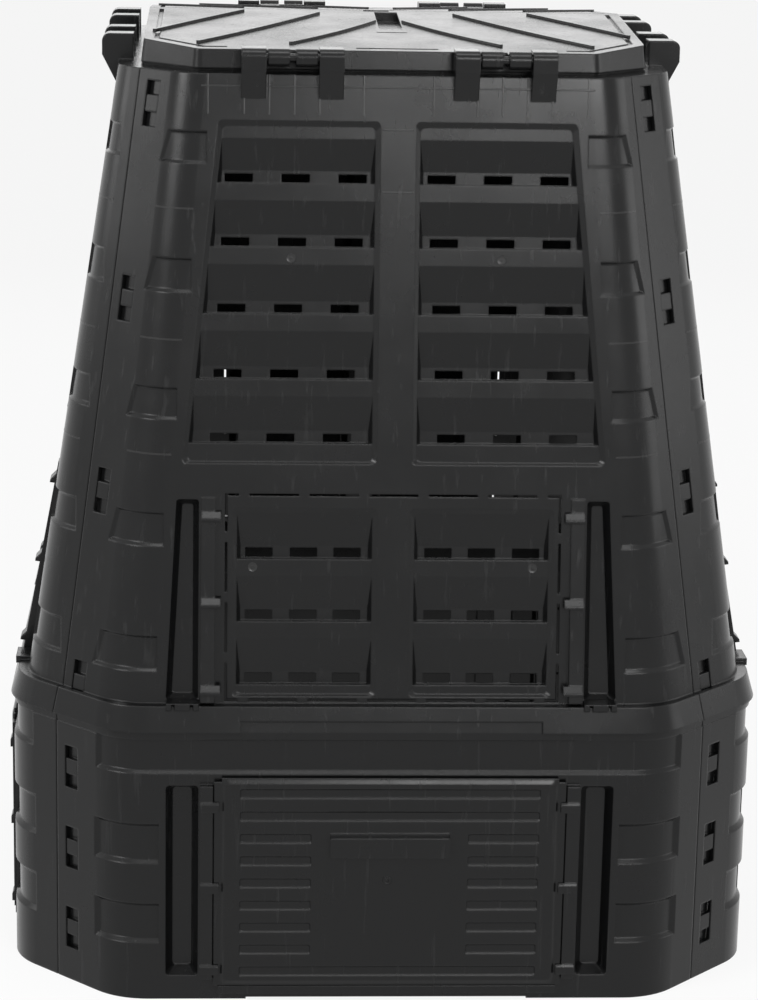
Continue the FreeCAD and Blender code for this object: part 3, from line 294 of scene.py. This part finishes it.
def handled_sheen_group():
    """Cloudy sheen, hairline scuffs and pale rubbed patches of used plastic."""
    group = bpy.data.node_groups.new("Handled Sheen", "ShaderNodeTree")
    for in_out in ("INPUT", "OUTPUT"):
        add_socket(group, "Roughness", in_out, "NodeSocketFloat")
        add_socket(group, "Colour", in_out, "NodeSocketColor")
    link = group.links.new
    entry = add_node(group, "NodeGroupInput")
    leave = add_node(group, "NodeGroupOutput")
    place = add_node(group, "ShaderNodeTexCoord")
    stretch = add_node(group, "ShaderNodeMapping")
    stretch.inputs["Scale"].default_value = HAIR_STRETCH
    stretch.inputs["Rotation"].default_value = HAIR_TURN
    link(place.outputs["Object"], stretch.inputs["Vector"])
    hairs = add_node(group, "ShaderNodeMapRange")
    hairs.inputs["From Min"].default_value = HAIR_START
    hairs.inputs["From Max"].default_value = HAIR_FULL
    link(noise(group, stretch.outputs["Vector"], *HAIRS), hairs.inputs["Value"])
    clouds = noise(group, place.outputs["Object"], *CLOUDS)
    clouds = math_node(group, "SUBTRACT", clouds, NOISE_MIDDLE)
    clouds = math_node(group, "MULTIPLY", clouds, CLOUD_SWING)
    cloudy = math_node(group, "ADD", entry.outputs["Roughness"], clouds)
    rougher = math_node(group, "MULTIPLY", hairs.outputs["Result"], HAIR_ROUGHNESS)
    paler = math_node(group, "MULTIPLY", hairs.outputs["Result"], HAIR_PALENESS)
    mix = add_node(group, "ShaderNodeMix", data_type="RGBA", blend_type="MIX")
    mix.inputs["B"].default_value = HAIR_COLOUR
    link(paler, mix.inputs["Factor"])
    link(entry.outputs["Colour"], mix.inputs["A"])
    link(math_node(group, "ADD", cloudy, rougher), leave.inputs["Roughness"])
    link(mix.outputs["Result"], leave.inputs["Colour"])
    arrange(group)
    return group


def moulded_plastic(name, colour, settings, edge_radius):
    """Black satin plastic for one kind of panel."""
    groups = bpy.data.node_groups
    material = bpy.data.materials.new(name)
    material.use_nodes = True
    tree = material.node_tree
    shader = tree.nodes["Principled BSDF"]
    shader.inputs["IOR"].default_value = PLASTIC_IOR
    shader.inputs["Specular IOR Level"].default_value = settings.gloss
    skin = add_node(tree, "ShaderNodeGroup", node_tree=groups.get("Moulded Skin") or moulded_skin_group())
    skin.inputs["Edge Radius"].default_value = edge_radius
    skin.inputs["Grain Depth"].default_value = settings.grain_depth
    skin.inputs["Warp Depth"].default_value = settings.warp_depth
    sheen = add_node(tree, "ShaderNodeGroup", node_tree=groups.get("Handled Sheen") or handled_sheen_group())
    sheen.inputs["Roughness"].default_value = settings.roughness
    sheen.inputs["Colour"].default_value = (*colour, 1.0)
    tree.links.new(sheen.outputs["Colour"], shader.inputs["Base Color"])
    tree.links.new(sheen.outputs["Roughness"], shader.inputs["Roughness"])
    tree.links.new(skin.outputs["Normal"], shader.inputs["Normal"])
    arrange(tree)
    return material


def dress(names, material_name, colour, settings):
    """Gives CAD panels their plastic."""
    material = moulded_plastic(material_name, colour, settings, settings.edge_radius)
    for name in names:
        panel = NODES[name]
        panel.data.materials.clear()
        panel.data.materials.append(material)
    return material


# Shapes of the small marks

def new_piece(name, bm, material, body):
    """Turns a finished bmesh into a piece that rides on a body."""
    bmesh.ops.remove_doubles(bm, verts=bm.verts, dist=SAME_POINT)
    bmesh.ops.recalc_face_normals(bm, faces=bm.faces)
    mesh = bpy.data.meshes.new(name)
    bm.to_mesh(mesh)
    bm.free()
    mesh.materials.append(material)
    piece = bpy.data.objects.new(name, mesh)
    bpy.context.scene.collection.objects.link(piece)
    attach(piece, body)
    return piece


def quarter_turn(side):
    """Turn from the front to a side."""
    return Matrix.Rotation(SIDES.index(side) * QUARTER, 4, "Z")


def up_the_wall(z):
    """How far up the leaning wall z is, from 0 at its foot to 1 at its head."""
    return (z - WALL_FOOT_Z) / (WALL_HEAD_Z - WALL_FOOT_Z)


def between(foot, head, share):
    """Value that changes evenly from the foot of the wall to its head."""
    return foot + share * (head - foot)


def on_face(x, z, depth):
    """Placement on the leaning front face, local +z pointing outwards."""
    y = between(WALL_FOOT_Y, WALL_HEAD_Y, up_the_wall(z))
    place = Matrix.Translation((x, y, z)) @ Matrix.Rotation(QUARTER - WALL_LEAN, 4, "X")
    return place @ Matrix.Translation((0.0, 0.0, -depth))


def faces_at(corners):
    """Faces that touch these corners, each once and in a fixed order."""
    return list(dict.fromkeys(face for corner in corners for face in corner.link_faces))


def gate_mark(bm, place, marks):
    """Low round rim with a trimmed nub in the middle, standing on a face."""
    outward = (place.to_3x3() @ UPWARDS).normalized()
    disc = bmesh.ops.create_cone(
        bm, cap_ends=True, segments=RIM_SEGMENTS, radius1=marks.gate_radius,
        radius2=marks.gate_radius * RIM_TOP_SHARE, depth=2 * marks.rim_height, matrix=place)
    bm.normal_update()
    caps = [face for face in faces_at(disc["verts"]) if len(face.verts) > SIDE_CORNERS]
    bmesh.ops.inset_region(
        bm, faces=[cap for cap in caps if cap.normal.dot(outward) > SQUARELY],
        thickness=marks.gate_radius * RIM_BAND_SHARE, depth=-marks.rim_height * HOLLOW_SHARE,
        use_even_offset=True)
    bmesh.ops.create_cone(
        bm, cap_ends=True, segments=NUB_SEGMENTS, radius1=marks.gate_radius * NUB_FOOT_SHARE,
        radius2=marks.gate_radius * NUB_TOP_SHARE, depth=2 * marks.nub_height, matrix=place)


def mould_bar(bm, place, length, marks, upright):
    """Faint rounded line on a face, along or up it."""
    half = marks.line_width / 2
    size = (half, length) if upright else (length, half)
    bmesh.ops.create_cone(
        bm, cap_ends=True, segments=LINE_SEGMENTS, radius1=1.0, radius2=1.0, depth=1.0,
        matrix=place @ Matrix.Diagonal((*size, marks.line_height, 1.0))
        @ Matrix.Rotation(QUARTER, 4, "X" if upright else "Y"))


def mould_arc(bm, z, side, marks):
    """Faint line round the rounded corner at height z; side is -1 or 1."""
    share = up_the_wall(z)
    half = -between(WALL_FOOT_Y, WALL_HEAD_Y, share)
    cut = between(WALL_CUT_FOOT, WALL_CUT_HEAD, share)
    radius = between(WALL_ROUND_FOOT, WALL_ROUND_HEAD, share)
    bend = half - cut - radius * math.tan(QUARTER / 4)
    start = Matrix.Translation((side * bend, -half, z)) @ Matrix.Rotation(QUARTER - WALL_LEAN, 4, "X")
    outline = Matrix.Diagonal((2 * marks.line_height, marks.line_width, 1.0, 1.0))
    corners = bmesh.ops.create_grid(
        bm, x_segments=1, y_segments=1, size=0.5,
        matrix=start @ Matrix.Rotation(QUARTER, 4, "Y") @ outline)["verts"]
    edges = list(dict.fromkeys(edge for corner in corners for edge in corner.link_edges))
    bmesh.ops.spin(
        bm, geom=corners + edges + faces_at(corners), cent=(side * bend, radius - half, z),
        axis=UPWARDS, angle=side * QUARTER / 2, steps=CORNER_STEPS, use_duplicate=False)


class COMPOSTBIN_OT_walls(bpy.types.Operator):
    """Finish the four leaning wall panels"""

    bl_idname = "compostbin.walls"
    bl_label = "Wall Panels"

    def execute(self, context):
        plastic = context.scene.compost_plastic
        marks = context.scene.compost_marks
        dress(["wall_" + side for side in SIDES], "Wall Plastic", plastic.colour, plastic)
        # The mould lines and the wall gate marks get this paler plastic, a painted highlight for the light
        # their small ridges catch
        pale = moulded_plastic("Mould Line Painted Highlight", marks.line_painted_highlight, plastic, marks.line_height)
        for side in SIDES:
            gates = bmesh.new()
            lines = bmesh.new()
            for mirror in (-1, 1):
                for x, z in WALL_GATES:
                    gate_mark(gates, on_face(mirror * x, z, FASCIA_RECESS), marks)
                for x in HEAD_UPRIGHTS:
                    place = on_face(mirror * x, HEAD_UPRIGHT_Z, 0.0)
                    mould_bar(lines, place, HEAD_UPRIGHT_LENGTH, marks, True)
                for z in CORNER_LINES_Z:
                    mould_arc(lines, z, mirror, marks)
            mould_bar(lines, on_face(0.0, HEAD_LINE_Z, 0.0), HEAD_LINE_LENGTH, marks, False)
            for z in BRIDGE_LINES_Z:
                mould_bar(lines, on_face(0.0, z, 0.0), BRIDGE_LINE_LENGTH, marks, False)
            for name, bm in (("wall_gates_", gates), ("wall_lines_", lines)):
                bmesh.ops.transform(bm, matrix=quarter_turn(side), verts=bm.verts)
                new_piece(name + side, bm, pale, "bin")
        return {"FINISHED"}


class COMPOSTBIN_OT_bases(bpy.types.Operator):
    """Finish the four base panels"""

    bl_idname = "compostbin.bases"
    bl_label = "Base Panels"

    def execute(self, context):
        plastic = context.scene.compost_plastic
        dress(["base_" + side for side in SIDES], "Base Plastic", plastic.colour, plastic)
        return {"FINISHED"}


class COMPOSTBIN_OT_doors(bpy.types.Operator):
    """Finish the four sliding doors"""

    bl_idname = "compostbin.doors"
    bl_label = "Sliding Doors"

    def execute(self, context):
        plastic = context.scene.compost_plastic
        material = dress(["door_" + side for side in SIDES], "Door Plastic", plastic.colour, plastic)
        x, z = DOOR_GATE
        place = Matrix.Translation((x, DOOR_FACE_Y, z)) @ Matrix.Rotation(QUARTER, 4, "X")
        for side in SIDES:
            bm = bmesh.new()
            gate_mark(bm, quarter_turn(side) @ place, context.scene.compost_marks)
            new_piece("door_gate_" + side, bm, material, "door_" + side)
        return {"FINISHED"}


class COMPOSTBIN_OT_lid(bpy.types.Operator):
    """Finish the two lid flaps"""

    bl_idname = "compostbin.lid"
    bl_label = "Lid Flaps"

    def execute(self, context):
        plastic = context.scene.compost_plastic
        dress(["lid_front", "lid_rear"], "Lid Plastic", plastic.colour, plastic)
        return {"FINISHED"}


class COMPOSTBIN_OT_pins(bpy.types.Operator):
    """Finish the hinge pins"""

    bl_idname = "compostbin.pins"
    bl_label = "Hinge Pins"

    def execute(self, context):
        plastic = context.scene.compost_plastic
        names = sorted(name for name in NODES if name.startswith("pin_"))
        dress(names, "Pin Plastic", plastic.pin_colour, plastic)
        return {"FINISHED"}


# Studio helpers

def aimed(place, target):
    """Matrix of a lamp at place whose light falls on target."""
    back = (Vector(place) - Vector(target)).normalized()
    right = UPWARDS.cross(back).normalized()
    turn = Matrix((right, back.cross(right), back)).transposed()
    return Matrix.Translation(place) @ turn.to_4x4()


def seen_or_mirrored(tree):
    """Mask of the rays that see the background directly, in a mirror or through glass."""
    rays = add_node(tree, "ShaderNodeLightPath").outputs
    seen = math_node(tree, "MAXIMUM", rays["Is Camera Ray"], rays["Is Glossy Ray"])
    return math_node(tree, "MAXIMUM", seen, rays["Is Transmission Ray"])


def blend_shaders(tree, share, first, second):
    """Mix of two shaders, with a share of the second."""
    mix = add_node(tree, "ShaderNodeMixShader")
    for value, socket in zip((share, first, second), mix.inputs):
        tree.links.new(value, socket)
    return mix.outputs["Shader"]


class COMPOSTBIN_OT_stage(bpy.types.Operator):
    """Set up the floor, the lamps, the room light and the camera"""

    bl_idname = "compostbin.stage"
    bl_label = "Studio"

    def execute(self, context):
        studio = context.scene.compost_studio
        self.make_floor(context.scene, studio)
        self.make_lamps(context.scene)
        self.make_world(context.scene, studio)
        self.make_camera(context.scene, studio)
        context.scene.view_settings.view_transform = "Standard"
        return {"FINISHED"}

    def make_floor(self, scene, studio):
        bm = bmesh.new()
        bmesh.ops.create_grid(bm, x_segments=1, y_segments=1, size=FLOOR_REACH)
        mesh = bpy.data.meshes.new("floor")
        bm.to_mesh(mesh)
        bm.free()
        floor = bpy.data.objects.new("floor", mesh)
        scene.collection.objects.link(floor)
        material = bpy.data.materials.new("Studio Floor")
        material.use_nodes = True
        tree = material.node_tree
        tree.nodes.clear()
        paper = add_node(tree, "ShaderNodeBsdfDiffuse")
        paper.inputs["Color"].default_value = (*studio.floor_colour, 1.0)
        glow = add_node(tree, "ShaderNodeEmission")
        share = math_node(tree, "MULTIPLY", seen_or_mirrored(tree), FLOOR_GLOW)
        surface = blend_shaders(tree, share, paper.outputs["BSDF"], glow.outputs["Emission"])
        tree.links.new(surface, add_node(tree, "ShaderNodeOutputMaterial").inputs["Surface"])
        arrange(tree)
        mesh.materials.append(material)

    def make_lamps(self, scene):
        for name, place, target, width, height, watts in LAMPS:
            lamp = bpy.data.lights.new(name, "AREA")
            lamp.shape = "RECTANGLE"
            lamp.size = width
            lamp.size_y = height
            lamp.energy = watts
            holder = bpy.data.objects.new(name, lamp)
            holder.matrix_world = aimed(place, target)
            holder.visible_camera = False
            scene.collection.objects.link(holder)

    def make_world(self, scene, studio):
        world = bpy.data.worlds.new("White Room")
        scene.world = world
        world.use_nodes = True
        tree = world.node_tree
        tree.nodes.clear()
        room = add_node(tree, "ShaderNodeBackground")
        room.inputs["Color"].default_value = WHITE
        room.inputs["Strength"].default_value = studio.world_level
        seen = add_node(tree, "ShaderNodeBackground")
        seen.inputs["Color"].default_value = WHITE
        surface = blend_shaders(
            tree, seen_or_mirrored(tree), room.outputs["Background"], seen.outputs["Background"])
        tree.links.new(surface, add_node(tree, "ShaderNodeOutputWorld").inputs["Surface"])
        arrange(tree)

    def make_camera(self, scene, studio):
        yaw = studio.camera_yaw
        pitch = studio.camera_pitch
        roll = studio.camera_roll
        ahead = Vector((math.sin(yaw) * math.cos(pitch), math.cos(yaw) * math.cos(pitch), -math.sin(pitch)))
        level = Vector((math.cos(yaw), -math.sin(yaw), 0.0))
        upright = level.cross(ahead)
        right = math.cos(roll) * level + math.sin(roll) * upright
        up = -math.sin(roll) * level + math.cos(roll) * upright
        turn = Matrix((right, up, -ahead)).transposed()
        camera = bpy.data.cameras.new("Photograph View")
        camera.sensor_fit = "HORIZONTAL"
        camera.lens = studio.focal_pixels / PHOTO_WIDTH * camera.sensor_width
        camera.shift_x = (PHOTO_WIDTH / 2 - studio.axis_x) / PHOTO_WIDTH
        camera.clip_end = VIEW_REACH
        holder = bpy.data.objects.new("Photograph View", camera)
        holder.matrix_world = Matrix.Translation(studio.camera_place) @ turn.to_4x4()
        scene.collection.objects.link(holder)
        scene.camera = holder


class COMPOSTBIN_PT_panel(bpy.types.Panel):
    """Steps that finish the compost bin"""

    bl_idname = "COMPOSTBIN_PT_panel"
    bl_label = "Compost Bin"
    bl_space_type = "VIEW_3D"
    bl_region_type = "UI"
    bl_category = "Compost Bin"

    def draw(self, context):
        layout = self.layout
        for pointer in SETTINGS:
            settings = getattr(context.scene, pointer)
            box = layout.box()
            for name in settings.__annotations__:
                box.prop(settings, name)
        for operator in STEPS:
            layout.operator(operator.bl_idname)


STEPS = (
    COMPOSTBIN_OT_walls,
    COMPOSTBIN_OT_bases,
    COMPOSTBIN_OT_doors,
    COMPOSTBIN_OT_lid,
    COMPOSTBIN_OT_pins,
    COMPOSTBIN_OT_stage,
)
SETTINGS = {
    "compost_plastic": PlasticSettings,
    "compost_marks": MarkSettings,
    "compost_studio": StudioSettings,
}
CLASSES = (*SETTINGS.values(), *STEPS, COMPOSTBIN_PT_panel)


def register():
    for cls in CLASSES:
        bpy.utils.register_class(cls)
    for pointer, group in SETTINGS.items():
        setattr(bpy.types.Scene, pointer, bpy.props.PointerProperty(type=group))


def unregister():
    for pointer in SETTINGS:
        delattr(bpy.types.Scene, pointer)
    for cls in reversed(CLASSES):
        bpy.utils.unregister_class(cls)


def main():
    register()
    for operator in STEPS:
        group, name = operator.bl_idname.split(".")
        result = getattr(getattr(bpy.ops, group), name)()
        if result != {"FINISHED"}:
            raise RuntimeError("step not finished: " + operator.bl_label)


if __name__ == "__main__":
    main()
